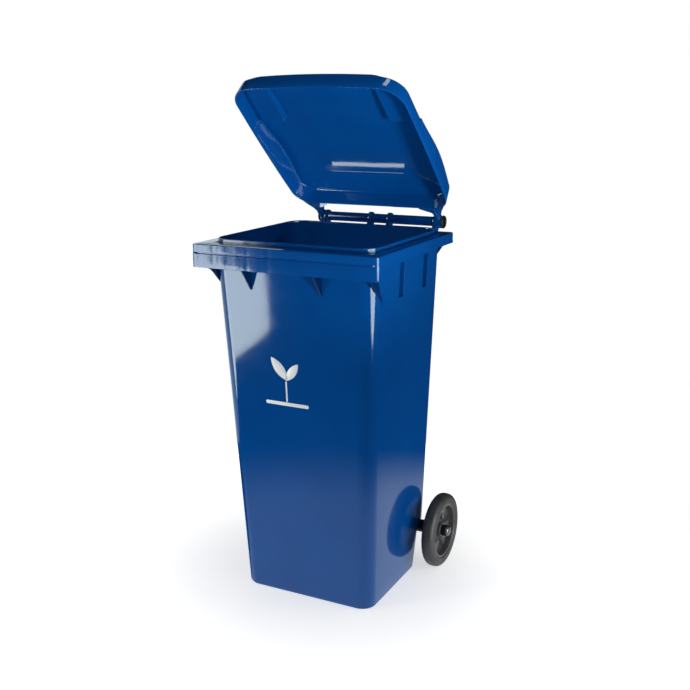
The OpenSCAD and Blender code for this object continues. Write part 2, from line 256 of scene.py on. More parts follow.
def revolved(profile, centre, side=RIGHT, steps=128, raised=None):
    """A closed profile of (x, radius) points turned about the X axis; raised(x, r, angle) adds to x."""
    rings = []
    for k in range(steps):
        a = 2 * math.pi * k / steps
        rings.append([(side * (x + (raised(x, r, a) if raised else 0)),
            centre[0] + r * math.cos(a), centre[1] + r * math.sin(a)) for x, r in profile])
    bm = bmesh.new()
    made = [add_ring(bm, r) for r in rings]
    for k in range(steps):
        join_rings(bm, made[k], made[(k + 1) % steps])
    bmesh.ops.remove_doubles(bm, verts=bm.verts, dist=WELD)
    return bm


CORNER_SHARE = 0.48                     # the most of a side that one rounded corner may take


def rounded(points, radii, steps=4):
    """Rounds the corners of a closed polygon of 2D points by the given radii."""
    out = []
    n = len(points)
    for k, (p, r) in enumerate(zip(points, radii)):
        p = Vector(p)
        if r <= 0:
            out.append(tuple(p))
            continue
        a = (Vector(points[k - 1]) - p)
        b = (Vector(points[(k + 1) % n]) - p)
        reach = min(r, a.length * CORNER_SHARE, b.length * CORNER_SHARE)
        a = p + a.normalized() * reach
        b = p + b.normalized() * reach
        for s in range(steps + 1):
            t = s / steps
            out.append(tuple(a * (1 - t) ** 2 + p * 2 * t * (1 - t) + b * t * t))
    return out


def merged(*parts):
    whole = bmesh.new()
    for part in parts:
        mesh = bpy.data.meshes.new("part")
        part.to_mesh(mesh)
        part.free()
        whole.from_mesh(mesh)
        bpy.data.meshes.remove(mesh)
    return whole


# ---- outlines ----

CORNER_STEPS = 12


def arc(cx, cy, r, start, steps=CORNER_STEPS):
    return [(cx + r * math.cos(math.radians(start + 90 * k / steps)),
        cy + r * math.sin(math.radians(start + 90 * k / steps))) for k in range(steps + 1)]


def outline(half, front, rear, rf, rr, side_ys):
    """A rounded rectangle, anticlockwise from above, with extra points along its sides."""
    return (arc(half - rf, front + rf, rf, -90)
        + [(half, y) for y in side_ys]
        + arc(half - rr, rear - rr, rr, 0)
        + arc(-half + rr, rear - rr, rr, 90)
        + [(-half, y) for y in reversed(side_ys)]
        + arc(-half + rf, front + rf, rf, 180))


# ---- tub shell ----

NOTCH_CORNER_LOW, NOTCH_CORNER_HIGH = 14, 30
LEAST_CORNER = 4
BASE_ROUNDING, INNER_ROUNDING = 7.0, 16.0
RIM_STRAIGHT, RIM_CENTRE = 914.5, 914.7     # where the rim's straight wall and its round edge start
# heights of the extra rings in the walls, and within the pockets
WALL_LEVELS = [200, 300, 400, 500, 600, 700]
POCKET_LEVELS = [812, 840]


def tub_half(z):
    return mix(BASE_HALF, TOP_HALF, z / SKIRT_Z)


def tub_front(z):
    return -mix(BASE_FRONT, TOP_FRONT, z / SKIRT_Z)


def tub_rear(z):
    if z >= STEP_TOP:
        return mix(BASE_REAR, TOP_REAR, (z - STEP_TOP) / (SKIRT_Z - STEP_TOP))
    if z >= STEP_BOTTOM:
        return mix(NOTCH_TOP, BASE_REAR, (z - STEP_BOTTOM) / (STEP_TOP - STEP_BOTTOM))
    return mix(NOTCH_BASE, NOTCH_TOP, max(z, 0) / STEP_BOTTOM)


def rear_corner(z):
    if z >= STEP_TOP:
        return mix(BASE_CORNER, TOP_CORNER, z / SKIRT_Z)
    return mix(NOTCH_CORNER_LOW, NOTCH_CORNER_HIGH, max(z, 0) / STEP_TOP)


def pocket_edges(grow):
    return [y for low, high in POCKET_YS for y in (low - grow, high + grow)]


def tub_ring(z, inset, rear_at=None, grow=0.0):
    """The tub's outline at z; rear_at takes the rear wall from another height."""
    rear_at = z if rear_at is None else rear_at
    rf = max(mix(BASE_CORNER, TOP_CORNER, z / SKIRT_Z) - inset, LEAST_CORNER)
    rr = max(rear_corner(rear_at) - inset, LEAST_CORNER)
    half = tub_half(z) - inset
    points = outline(half, tub_front(z) + inset, tub_rear(rear_at) - inset, rf, rr, pocket_edges(grow))
    return [(x, y, z) for x, y in points]


def rim_ring(z, inset, grow=0.0):
    r = RIM_R - inset
    points = outline(RIM_HALF - inset, -RIM_FRONT + inset, RIM_REAR - inset, r, r, pocket_edges(grow))
    return [(x, y, z) for x, y in points]


def make_pockets(bm, inset, depth_x, z0, z1, grow):
    """Pushes the faces of the wall that lies inset from the outside in to depth_x at each pocket."""
    for side in SIDES:
        for low, high in POCKET_YS:
            faces = [f for f in bm.faces if all(
                abs(side * v.co.x - tub_half(v.co.z) + inset) < 1
                and low - grow - 0.6 <= v.co.y <= high + grow + 0.6
                and z0 - 0.6 <= v.co.z <= z1 + 0.6 for v in f.verts)]
            made = bmesh.ops.extrude_face_region(bm, geom=faces)
            for v in (e for e in made["geom"] if isinstance(e, bmesh.types.BMVert)):
                v.co.x = side * depth_x
            bmesh.ops.delete(bm, geom=faces, context="FACES_KEEP_BOUNDARY")


def tub_shell():
    outer = []
    for k in range(5):
        a = math.radians(90 * k / 5)
        outer.append(tub_ring(BASE_ROUNDING * (1 - math.cos(a)), BASE_ROUNDING * (1 - math.sin(a)), 0))
    levels = [BASE_ROUNDING, 40, 80, 108, 113, STEP_BOTTOM, 118.5, 123, STEP_TOP, 131, 138]
    levels += WALL_LEVELS + [POCKET_Z[0]] + POCKET_LEVELS + [POCKET_Z[1], SKIRT_Z]
    outer += [tub_ring(z, 0) for z in levels]
    outer += [rim_ring(z, 0) for z in (LEDGE_Z, 911, RIM_STRAIGHT)]
    half_wall = WALL / 2
    for a in (30, 60, 90, 120, 150):
        up, across = math.sin(math.radians(a)), math.cos(math.radians(a))
        outer.append(rim_ring(RIM_CENTRE + half_wall * up, half_wall * (1 - across)))
    inner = [rim_ring(RIM_STRAIGHT, WALL, WALL), rim_ring(LEDGE_Z, WALL, WALL)]
    inner_levels = [SKIRT_Z, POCKET_Z[1] + WALL] + POCKET_LEVELS[::-1] + [POCKET_Z[0] - WALL]
    inner_levels += WALL_LEVELS[::-1] + [138, STEP_TOP + WALL, STEP_BOTTOM + WALL, 80, 40, 22]
    inner += [tub_ring(z, WALL, z - WALL, WALL) for z in inner_levels]
    for a in (30, 60, 90):
        up, across = math.sin(math.radians(a)), math.cos(math.radians(a))
        lift, inset = WALL + INNER_ROUNDING * (1 - up), WALL + INNER_ROUNDING * (1 - across)
        inner.append(tub_ring(lift, inset, 4, WALL))
    bm = solid_of_rings(outer + inner)
    bm.normal_update()
    return bm


shell = tub_shell()
make_pockets(shell, 0, POCKET_IN, POCKET_Z[0], POCKET_Z[1], 0)
make_pockets(shell, WALL, POCKET_IN - WALL, POCKET_Z[0] - WALL, POCKET_Z[1] + WALL, WALL)
finish_piece("tub_shell", shell, BLUE, ROOT, ["tub"], sharp=28, bevel=1.4)


# ---- collar with the comb lip ----

COLLAR_R, LEAST_COLLAR_R, COLLAR_CORNER_STEPS = 10.0, 1.2, 6
LIP_COLUMNS = 60
LIP_END_STEP = 0.4                      # the lip's ends drop to the skirt within this length
LIP_END, LIP_START = 7, 24              # the ring's points between these are not in the lip
COLLAR_WALL, COLLAR_EDGE = 4.0, 2.4
GROOVE = 2.4
GROOVE_HALF, WAVY_HALF = 234, 231       # how far the groove and the unevenness reach to each side


def collar_ring(inset):
    half, front, rear = COMB_HALF - inset, -COMB_FRONT + inset, COLLAR_REAR - inset
    r, steps = max(COLLAR_R - inset, LEAST_COLLAR_R), COLLAR_CORNER_STEPS
    xs = [mix(-half + r, half - r, k / LIP_COLUMNS) for k in range(1, LIP_COLUMNS)]
    back = -COMB_BACK
    return (arc(half - r, front + r, r, -90, steps) + [(half, back), (half, back + LIP_END_STEP)]
        + arc(half - r, rear - r, r, 0, steps) + arc(-half + r, rear - r, r, 90, steps)
        + [(-half, back + LIP_END_STEP), (-half, back)] + arc(-half + r, front + r, r, 180, steps)
        + [(x, front) for x in xs])


def waviness(x, z):
    """The slight unevenness of the moulded lip's front face, in millimetres."""
    ripple = 0.15 * math.sin(x / 3.0 + 0.6 * math.sin(x / 11.0))
    return ripple + 0.07 * math.sin(x / 7.3 + 1.0) + 0.05 * math.sin(z / 5.0 + x / 9.0)


def collar_rows():
    """Rows of (inset, z in the lip, z elsewhere, share of the unevenness), from inside the skirt up."""
    t = COLLAR_WALL
    rows = [
        (t, COMB_BOTTOM + 1.0, SKIRT_Z + 1.0, 0),
        (t - 0.3, COMB_BOTTOM + 0.3, SKIRT_Z + 0.3, 0),
        (t - 1.0, COMB_BOTTOM, SKIRT_Z, 0),
        (1.0, COMB_BOTTOM, SKIRT_Z, 0),
        (0.3, COMB_BOTTOM + 0.3, SKIRT_Z + 0.3, 0.5),
        (0.0, COMB_BOTTOM + 1.2, SKIRT_Z + 1.2, 1),
        (0.0, 868, SKIRT_Z + 2.4, 1),
        (0.0, GROOVE_Z - 2.6, SKIRT_Z + 3.0, 1),
        (0.4, GROOVE_Z - 1.7, SKIRT_Z + 3.6, 0.5),
        (GROOVE, GROOVE_Z - 0.4, GROOVE_Z - 0.4, 0),
        (GROOVE + 0.4, GROOVE_Z + 1.6, GROOVE_Z + 1.6, 0),
        (0.9, GROOVE_Z + 2.4, GROOVE_Z + 2.4, 0.5),
        (0.7, GROOVE_Z + 3.2, GROOVE_Z + 3.2, 1),
        (0.7, 896, 896, 1)]
    for a in (0, 30, 60, 90):
        up, across = math.sin(math.radians(a)), math.cos(math.radians(a))
        z = LEDGE_Z - COLLAR_EDGE + COLLAR_EDGE * up
        rows.append((0.7 + COLLAR_EDGE * (1 - across), z, z, 1 - a / 90))
    return rows


def collar():
    """The ledge round the mouth with its skirt, which is deeper in front where it forms the comb lip."""
    count = len(collar_ring(0))
    in_lip = [k <= LIP_END or k >= LIP_START for k in range(count)]
    bm = bmesh.new()
    made = []
    for inset, lip_z, other_z, share in collar_rows():
        ring = []
        for k, (x, y) in enumerate(collar_ring(inset)):
            z = lip_z if in_lip[k] else other_z
            grooved = in_lip[k] and abs(x) < GROOVE_HALF and y < -COMB_BACK - 8
            if inset in (0.4, GROOVE, GROOVE + 0.4, 0.9) and not grooved:
                x, y = collar_ring(0.0 if z < GROOVE_Z else 0.7)[k]
            if y < -COMB_BACK - 10 and abs(x) < WAVY_HALF:
                y += share * (0.2 + waviness(x, z))
            ring.append((x, y, z))
        made.append(add_ring(bm, ring))
    # the top runs in to the mouth's rim and comes back underneath
    mouth = [(clamp(x, -RIM_HALF + 4, RIM_HALF - 4), clamp(y, -RIM_FRONT + 4, RIM_REAR - 4))
        for x, y in collar_ring(0.7 + COLLAR_EDGE)]
    for z in (LEDGE_Z, LEDGE_Z - COLLAR_WALL):
        made.append(add_ring(bm, [(x, y, z) for x, y in mouth]))
    made.append(add_ring(bm, [(x, y, LEDGE_Z - COLLAR_WALL) for x, y in collar_ring(COLLAR_WALL)]))
    for a, b in zip(made, made[1:] + made[:1]):
        for k in range(count):
            j = (k + 1) % count
            quad = []
            for v in (a[k], a[j], b[j], b[k]):
                if all((v.co - w.co).length > 1e-4 for w in quad):
                    quad.append(v)
            if len(quad) > 2:
                bm.faces.new(quad)
    return bm


finish_piece("tub_collar", collar(), COMB_BLUE, ROOT, ["tub"], sharp=40)


# ---- gussets, handle and axle cheeks ----

def extruded(outline, w0, w1, place, edge=1.2):
    """A plate with a 2D outline between w0 and w1, with rounded edges; place turns (u, v, w) into a point."""
    n = len(outline)
    area = sum(a[0] * b[1] - b[0] * a[1] for a, b in zip(outline, outline[1:] + outline[:1]))
    turn = 1 if area > 0 else -1
    normals = []
    for k in range(n):
        a, b, c = (Vector(outline[j % n]) for j in (k - 1, k, k + 1))
        e, f = (b - a).normalized(), (c - b).normalized()
        bend = max(0.5, 1 + e.dot(f))
        normals.append((Vector((e.y + f.y, -e.x - f.x)) / bend) * turn)
    rings = []
    cut = edge * 0.3
    for w, inset in ((w0, edge), (w0 + cut, cut), (w0 + edge, 0),
            (w1 - edge, 0), (w1 - cut, cut), (w1, edge)):
        rings.append([place(p[0] - q.x * inset, p[1] - q.y * inset, w) for p, q in zip(outline, normals)])
    return solid_of_rings(rings)


def plate(outline, x0, x1, side=RIGHT, edge=1.2):
    return extruded(outline, x0, x1, lambda u, v, w: (side * w, u, v), edge)


def circle_part(centre, r, start, end, steps):
    return [(centre[0] + r * math.cos(math.radians(mix(start, end, k / steps))),
        centre[1] + r * math.sin(math.radians(mix(start, end, k / steps)))) for k in range(steps + 1)]


# side views, as (y, z)
GUSSET = rounded([(-COMB_FRONT + 2.5, 853), (-214, 800), (-208, 800), (-208, 903), (-COMB_FRONT + 2.5, 903)],
    [3, 4, 0, 0, 0])
END_GUSSET = rounded([(-COMB_FRONT + 3, 853), (-226, 844), (-176, 796), (-168, 782), (-168, 903),
    (-COMB_FRONT + 3, 903)], [3, 14, 10, 0, 0, 0])
GUSSET_XS, GUSSET_HALF = (-107, 80), 2
END_GUSSET_X = (208, 212)
# the gussets under the lip take the darker blue, which is painted shade
finish_piece("tub_gussets", merged(*[plate(GUSSET, x - GUSSET_HALF, x + GUSSET_HALF) for x in GUSSET_XS],
    *[plate(END_GUSSET, *END_GUSSET_X, side) for side in SIDES]), SHADED_RIB_BLUE, ROOT, ["tub"])

# a view from the front, as (x, z)
SIDE_GUSSET = [(210, 883), (232, 883), (210, 852)]
SIDE_GUSSET_YS = (163.0, 167.0)
# the small gussets under the ledge also take the darker blue, which is painted shade
finish_piece("tub_side_gussets", merged(*[extruded(SIDE_GUSSET, *SIDE_GUSSET_YS,
    lambda u, v, w, side=side: (side * u, w, v)) for side in SIDES]), SHADED_RIB_BLUE, ROOT, ["tub"])

LUG_X = (156.0, 167.0)
LUG_R = 17.0
BAR_R = 12.5
MIDDLE_BRACKETS, BRACKET_HALF = (-28, 28), 5
CHEEK_X = (118, 142)
PLATE_EDGE = 1.6
hinge = (hinge_y, hinge_z)
BRACKET = (rounded([(186, 883.5), (186, 846), (214, 865), (248, 869.5), (272, 876), (287, 890)],
        [0, 0, 14, 16, 14, 8], 5)
    + circle_part(hinge, LUG_R, -48, 200, 40)
    + rounded([(261.5, 900), (255, 889), (240, 884.5), (215, 883.5)], [8, 10, 12, 0], 5))
bar_end = LUG_X[0] + 1
bar = revolved([(-bar_end, 0), (-bar_end, BAR_R), (bar_end, BAR_R), (bar_end, 0)], hinge, steps=64)
finish_piece("tub_handle", merged(bar, *[plate(BRACKET, *LUG_X, side, PLATE_EDGE) for side in SIDES],
    *[plate(BRACKET, x - BRACKET_HALF, x + BRACKET_HALF, edge=PLATE_EDGE) for x in MIDDLE_BRACKETS]),
    BLUE, ROOT, ["tub"])

CHEEK = (rounded([(114, 134), (114, 42), (158, 76)], [0, 0, 6])
    + circle_part((axle_y, axle_z), 20, -60, 35, 24)
    + rounded([(183, 126), (180, 134)], [4, 0]))
finish_piece("tub_axle_cheeks", merged(*[plate(CHEEK, *CHEEK_X, side, PLATE_EDGE) for side in SIDES]),
    BLUE, ROOT, ["tub"])


# ---- lid, made closed and then turned open ----

LID_HALF = 226.0
LID_REACH = 526.0
LID_BOW = 12.6
SIDE_BOW = 5.0
LID_LOW = 910.0
LID_TOP = LID_LOW + 38.0
LID_REAR = 210.0
LID_FRONT = hinge_y - LID_REACH + LID_BOW
LID_MID = (LID_FRONT + LID_REAR) / 2
R_FRONT, R_REAR = 52.0, 46.0
SLOPE_SIDE, SLOPE_FRONT, SLOPE_REAR = 97.0, 100.0, 66.0
GRIP_X, GRIP_Y = 146.0, -90.0
GRIP_TOP = LID_TOP - 3
GRIP_RIM_IN = 4.0
GRIP_LINES = [-2, -1.2, -0.4, 0.4, 1.2, 2]
LID_WALL = 3.5
EDGE_IN = 11.0                          # where the rounding of the crown's edge ends
SKIRT_RISE = 6.5                        # how far the crown's edge stands above LID_TOP
GRIP_DROP, GRIP_FALL = 7.0, 36          # how far the rim round a grip falls, and over what width
ARCH, ARCH_MIDDLE, ARCH_REACH = 15, 60, 165
PLATEAU_RISE, PLATEAU_FALL = 24, 10
CREASE = 0.01                           # softness of the creases between the crown's slopes


def lid_bowed(x, y):
    across = x / LID_HALF
    along = (y - LID_MID) / (LID_MID - LID_FRONT)
    return x - SIDE_BOW * across * along * along, y - LID_BOW * max(0, -along) * (1 - across * across)


def lid_arch(y):
    t = clamp((y - ARCH_MIDDLE) / ARCH_REACH, -1, 1)
    return ARCH * math.cos(math.pi / 2 * t) ** 2


def soft_min(values, k):
    low = min(values)
    return low - k * math.log(sum(math.exp(-(v - low) / k) for v in values))


def crown_height(x, y):
    """Height of the crown's outside over (x, y), without the hand grips."""
    side = (LID_HALF - abs(x) - EDGE_IN) / (SLOPE_SIDE - EDGE_IN)
    front = (y - LID_FRONT - EDGE_IN) / (SLOPE_FRONT - EDGE_IN)
    rear = (LID_REAR - y - EDGE_IN) / (SLOPE_REAR - EDGE_IN)
    t = clamp(soft_min([side, front, rear, 1.0], CREASE), 0, 1)
    plateau = LID_TOP + PLATEAU_RISE - PLATEAU_FALL * clamp((127 - y) / 260, -0.2, 1.2)
    return mix(LID_TOP + SKIRT_RISE + lid_arch(y), plateau, t)


def in_grip(x, y):
    return smooth((abs(x) - GRIP_X + 2) / 4) * smooth((GRIP_Y + 2 - y) / 4)


def edge_distance(x, y):
    """How far a point lies inside the lid's outline."""
    for cy, r, ahead in ((LID_FRONT + R_FRONT, R_FRONT, -1), (LID_REAR - R_REAR, R_REAR, 1)):
        dx, dy = abs(x) - LID_HALF + r, (y - cy) * ahead
        if dx > 0 and dy > 0:
            return r - math.hypot(dx, dy)
    return min(LID_HALF - abs(x), y - LID_FRONT, LID_REAR - y)


def grip_rim(x):
    """Height of the rim round a grip, which falls from the front edge to the sides."""
    return LID_TOP + SKIRT_RISE - GRIP_DROP * smooth((abs(x) - GRIP_X) / GRIP_FALL)


def grip_height(x, y):
    return mix(grip_rim(x), GRIP_TOP, smooth((edge_distance(x, y) - EDGE_IN) / GRIP_RIM_IN))


def lid_outline_points(inset):
    half, y0, y1 = LID_HALF - inset, LID_FRONT + inset, LID_REAR - inset
    rf, rr = R_FRONT - inset, R_REAR - inset
    return (arc(half - rf, y0 + rf, rf, -90) + arc(half - rr, y1 - rr, rr, 0)
        + arc(-half + rr, y1 - rr, rr, 90) + arc(-half + rf, y0 + rf, rf, 180))


def push_out(x, y, distance):
    """Moves a point of the outline at EDGE_IN straight out, or along the corner's radius."""
    half, y0, y1 = LID_HALF - EDGE_IN, LID_FRONT + EDGE_IN, LID_REAR - EDGE_IN
    rf, rr = R_FRONT - EDGE_IN, R_REAR - EDGE_IN
    sign = 1 if x > 0 else -1
    for cy, r, ahead in ((y0 + rf, rf, -1), (y1 - rr, rr, 1)):
        cx = half - r
        if abs(x) > cx + 1e-4 and (y - cy) * ahead > 1e-4:
            d = Vector((abs(x) - cx, y - cy)).normalized() * distance
            return x + sign * d.x, y + d.y
    if abs(abs(x) - half) < 1e-3:
        return x + sign * distance, y
    return x, y + (distance if y > 0 else -distance)


def inner_place(x, y):
    """Where a point of the outside lies on the inside, a wall's thickness in from the edges and the grips."""
    sx = LID_WALL * min(1, abs(x) / (GRIP_X - 6))
    if y < GRIP_Y + 6:
        sy = LID_WALL
    else:
        sy = mix(LID_WALL, -LID_WALL, (y - GRIP_Y - 6) / (LID_REAR - EDGE_IN - GRIP_Y - 6))
    return x - math.copysign(sx, x), y + clamp(sy, -LID_WALL, LID_WALL)


def lid_net():
    """The crown's outline cut into faces along its creases and the grips' steps, with its outer loop."""
    bm = bmesh.new()
    edge_rings = [add_ring(bm, [(x, y, 0) for x, y in lid_outline_points(EDGE_IN + GRIP_RIM_IN * t)])
        for t in (0, 0.25, 0.5, 0.75, 1)]
    for a, b in zip(edge_rings, edge_rings[1:]):
        join_rings(bm, a, b)
    bm.faces.new(edge_rings[-1])
    crease_lines = (-6, -2, 2, 6)
    xs = [20 * k for k in range(0, 11)] + [GRIP_X + g for g in GRIP_LINES]
    xs += [LID_HALF - SLOPE_SIDE + d for d in crease_lines]
    xs = sorted(set(x for x in xs if abs(x - GRIP_X) <= 2 or abs(x - GRIP_X) >= 12))
    ys = [-220 + 20 * k for k in range(0, 22)] + [GRIP_Y + g for g in GRIP_LINES]
    ys += [LID_FRONT + SLOPE_FRONT + d for d in crease_lines]
    ys += [LID_REAR - SLOPE_REAR + d for d in crease_lines]
    cuts = [((x, 0, 0), (1, 0, 0)) for x in xs] + [((-x, 0, 0), (1, 0, 0)) for x in xs if x]
    cuts += [((0, y, 0), (0, 1, 0)) for y in ys]
    for side in SIDES:
        for depth, edge_y, ahead in ((SLOPE_FRONT, LID_FRONT, 1), (SLOPE_REAR, LID_REAR, -1)):
            along = Vector((-side * SLOPE_SIDE, ahead * depth, 0)).normalized()
            across = Vector((along.y, -along.x, 0))
            for d in (-4, 0, 4):
                cuts.append((Vector((side * LID_HALF, edge_y, 0)) + across * d, across))
    for co, no in cuts:
        everything = bm.verts[:] + bm.edges[:] + bm.faces[:]
        bmesh.ops.bisect_plane(bm, geom=everything, dist=0.01, plane_co=co, plane_no=no)
    bmesh.ops.remove_doubles(bm, verts=bm.verts, dist=0.05)
    border = [e for e in bm.edges if e.is_boundary]
    loop = list(border[0].verts)
    left = set(border) - {border[0]}
    while left:
        step = next((e for e in loop[-1].link_edges if e in left), None)
        if step is None:
            break
        left.remove(step)
        v = step.other_vert(loop[-1])
        if v is loop[0]:
            break
        loop.append(v)
    bm.verts.index_update()
    flat = [(v.co.x, v.co.y) for v in bm.verts]
    faces = [[v.index for v in f.verts] for f in bm.faces]
    ring = [v.index for v in loop]
    bm.free()
    return flat, faces, ring


def lid_height(x, y):
    return mix(crown_height(x, y), grip_height(x, y), in_grip(x, y))


def lid_surface(flat, faces, ring, inner):
    """Points, faces and the lowest ring of one side of the lid's wall."""
    points, quads = [], list(faces)

    def add_row(last, place):
        made = []
        for k in ring:
            x, y, z = place(*flat[k])
            if inner:
                dx, dy = inner_place(*flat[k])
                x, y = x + dx - flat[k][0], y + dy - flat[k][1]
            made.append(len(points))
            points.append((x, y, z))
        for a in range(len(ring)):
            b = (a + 1) % len(ring)
            quads.append([last[a], last[b], made[b], made[a]])
        return made

    for x, y in flat:
        z = lid_height(x, y)
        if inner:
            x, y = inner_place(x, y)
            z -= LID_WALL
        points.append((x, y, z))
    last = ring
    shoulder = EDGE_IN - 3
    for a in (64, 48, 32, 16, 0):
        out = shoulder - 8 * (1 - math.cos(math.radians(a)))
        rise = math.sin(math.radians(a))

        def on_shoulder(x, y):
            top = lid_height(x, y)
            low = min(LID_TOP - 0.5, top - 4) + lid_arch(y) * (1 - in_grip(x, y))
            drop = LID_WALL * max(0.0, 1 - out / shoulder * 0.6) if inner else 0.0
            return (*push_out(x, y, out), mix(low, top, rise) - drop)

        last = add_row(last, on_shoulder)
    for out, z in ((EDGE_IN - 1.5, LID_LOW + 19), (EDGE_IN, LID_LOW + 1.4), (EDGE_IN - 0.4, LID_LOW + 0.4),
            (EDGE_IN - 1.4, LID_LOW)):
        if inner and z < LID_LOW + 2:
            out = 2 * EDGE_IN - out
        last = add_row(last, lambda x, y: (*push_out(x, y, out), z))
    return points, quads, last


def lid_shell():
    net = lid_net()
    out_points, out_faces, out_ring = lid_surface(*net, False)
    in_points, in_faces, in_ring = lid_surface(*net, True)
    shift = len(out_points)
    whole = bmesh.new()
    verts = add_ring(whole, [(*lid_bowed(x, y), z) for x, y, z in out_points + in_points])
    for f in out_faces:
        whole.faces.new([verts[k] for k in f])
    for f in in_faces:
        whole.faces.new([verts[k + shift] for k in reversed(f)])
    for a in range(len(out_ring)):
        b = (a + 1) % len(out_ring)
        corners = (out_ring[a], out_ring[b], in_ring[b] + shift, in_ring[a] + shift)
        whole.faces.new([verts[k] for k in corners])
    return whole


EYE_X = (167.5, 179.0)


def lid_arms():
    root = 206.4                        # the inner face of the rear skirt, from which the arms start
    # a side view as (y, z), then two views from above as (y, x)
    arm = (circle_part(hinge, LUG_R, -118, 62, 30)
        + rounded([(258, 940), (236, 944), (root, 944), (root, 910.5), (240, 910.5), (262, 907)],
            [20, 10, 0, 0, 10, 12]))
    web = rounded([(root, 172), (266, 172), (264, 168.4), (240, 168.2), (231, 165), (224, 150), (216, 134),
        (root, 130)], [0, 0, 0, 4, 6, 12, 8, 0], 5)
    outer = rounded([(root, 176), (262, 176), (262, 179), (246, 180.5), (232, 186), (220, 196), (203, 205),
        (205, 197), (root, 190)], [0, 0, 4, 10, 12, 10, 0, 0, 0], 5)
    parts = []
    for side in SIDES:
        parts.append(plate(arm, *EYE_X, side, PLATE_EDGE))
        for shape, z1 in ((web, 928), (outer, 926)):
            parts.append(extruded(shape, 911.5, z1, lambda u, v, w, side=side: (side * v, u, w), 1.2))
    return merged(*parts)


turn = (Matrix.Translation((0, hinge_y, hinge_z)) @ Matrix.Rotation(math.radians(-lid_open), 4, "X")
    @ Matrix.Translation((0, -hinge_y, -hinge_z)))
for name, bm in (("lid_shell", lid_shell()), ("lid_arms", lid_arms())):
    bm.transform(turn)
    finish_piece(name, bm, BLUE, "lid", ["lid"], sharp=30)


# ---- hinge pins, axle and wheels ----

axle_line = (axle_y, axle_z)


def curve(cx, cr, rx, rr, start, end, steps=6):
    return [(cx + rx * math.cos(math.radians(mix(start, end, k / steps))),
        cr + rr * math.sin(math.radians(mix(start, end, k / steps)))) for k in range(steps + 1)]


# profiles to be turned, as (x, radius)
PIN = ([(112, 0), (112, 5), (113, 6), (179.4, 6), (179.4, 16), (180, 16.6), (181, 17)]
    + curve(181.5, 13.5, 3.5, 3.5, 90, 0) + [(185, 9), (184.4, 8), (183.2, 7.4), (183.0, 0)])
CAP = ([(258.5, 0), (258.5, 13.2), (258.9, 13.5), (260.2, 13.5), (260.8, 13.2)]
    + curve(260.6, 0, 3.9, 12.9, 78, 0, 10))
WASHER = [(257, 10.02), (257, 13.6), (257.3, 14), (258.2, 14), (258.5, 13.6), (258.5, 10.02)]
BUSH = [(214, 10.05), (214, 14.2), (214.8, 15), (255.7, 15), (256.5, 14.2), (256.5, 10.05)]
SPACER = [(142, 10.02), (142, 16), (143, 17), (205, 17), (205.6, 16.4), (206.4, 16.4), (207, 17), (212.6, 17),
    (213.5, 16), (213.5, 10.02)]
WEB_X = 228.0                           # the wheel's flat web, which carries the spokes
SPOKES, SPOKE_RISE = 6, 8.5
SPOKE_INNER, SPOKE_OUTER, SPOKE_HALF, SPOKE_FLARE, SPOKE_SIDE = 27, 61, 5.5, 0.03, 3.0
RIM = ([(215, 15.02), (215, 18.4), (215.6, 19), (219, 19.6)] + curve(219, 26, 4, 6.2, -90, 0)
    + [(223, 58)] + curve(219.4, 58, 3.6, 7.5, 0, 90) + [(218.9, 66.6), (218.3, 67.6), (218, 69), (218, 73),
    (250, 73), (250, 70.6)] + curve(248.4, 70.4, 1.6, 2.4, 0, -90, 5) + [(244, 67.4)]
    + curve(241, 60.5, 13, 6.6, 90, 180, 8) + [(WEB_X, r) for r in (57, 53, 48, 43, 38, 34, 31)]
    + curve(238.4, 26, 10.4, 6.4, 180, 270, 6)
    + [(241.4, 19.2), (242, 18.6), (242, 15.02)])
TYRE = ([(218.6, 73.02), (217.8, 74), (217.3, 76), (217.1, 80), (217, 85)]
    + curve(231, 85.5, 14, 14.2, 180, 90, 12)
    + [(233.4, 99.9), (233.8, 100), (234.2, 100), (234.6, 99.9)] + curve(239.5, 86.5, 13.5, 13.2, 90, 0, 10)
    + [(252.8, 80), (252.5, 76.4), (251.6, 74.2), (249.8, 73.02)])


def spoke(x, r, angle):
    """How far the rim's web stands out at a point, which makes its spokes."""
    if abs(x - WEB_X) > 0.01 or not SPOKE_INNER < r < SPOKE_OUTER:
        return 0
    off = r * math.sin((angle + math.pi / SPOKES) % (2 * math.pi / SPOKES) - math.pi / SPOKES)
    return SPOKE_RISE * (1 - smooth((abs(off) - SPOKE_HALF - r * SPOKE_FLARE) / SPOKE_SIDE))


AXLE = [(-258.4, 0), (-258.4, 9.3), (-257.7, 10), (257.7, 10), (258.4, 9.3), (258.4, 0)]

finish_piece("steel_axle", revolved(AXLE, axle_line, steps=48), STEEL, ROOT, ["axle"])
for side, word in ((LEFT, "left"), (RIGHT, "right")):
    wheel = f"wheel_{word}"
    for name, profile, centre, material, slot, body, node in (
            ("pin", PIN, hinge, BLACK, "black_plastic", ROOT, "hinge_pin"),
            ("spacer", SPACER, axle_line, BLACK, "black_plastic", ROOT, "axle_spacer"),
            ("washer", WASHER, axle_line, STEEL, "axle_steel", ROOT, "hub_washer"),
            ("cap", CAP, axle_line, BRIGHT, "bright_cap", ROOT, "axle_cap"),
            ("bush", BUSH, axle_line, BLACK, "black_plastic", wheel, "hub_bush"),
            ("rim", RIM, axle_line, RIM_GREY, "rim_plastic", wheel, "wheel_rim"),
            ("tyre", TYRE, axle_line, RUBBER, "tyre_rubber", wheel, "tyre")):
        bm = revolved(profile, centre, side, 240, spoke) if name == "rim" else revolved(profile, centre, side)
        finish_piece(f"{name}_{word}", bm, material, body, [f"{node}_{word}"], sharp=38)


# ---- generic white mark on the front ----

def front_place(u, v, w):
    return (u, tub_front(v) - w, v)


LEAF_STEPS = 12


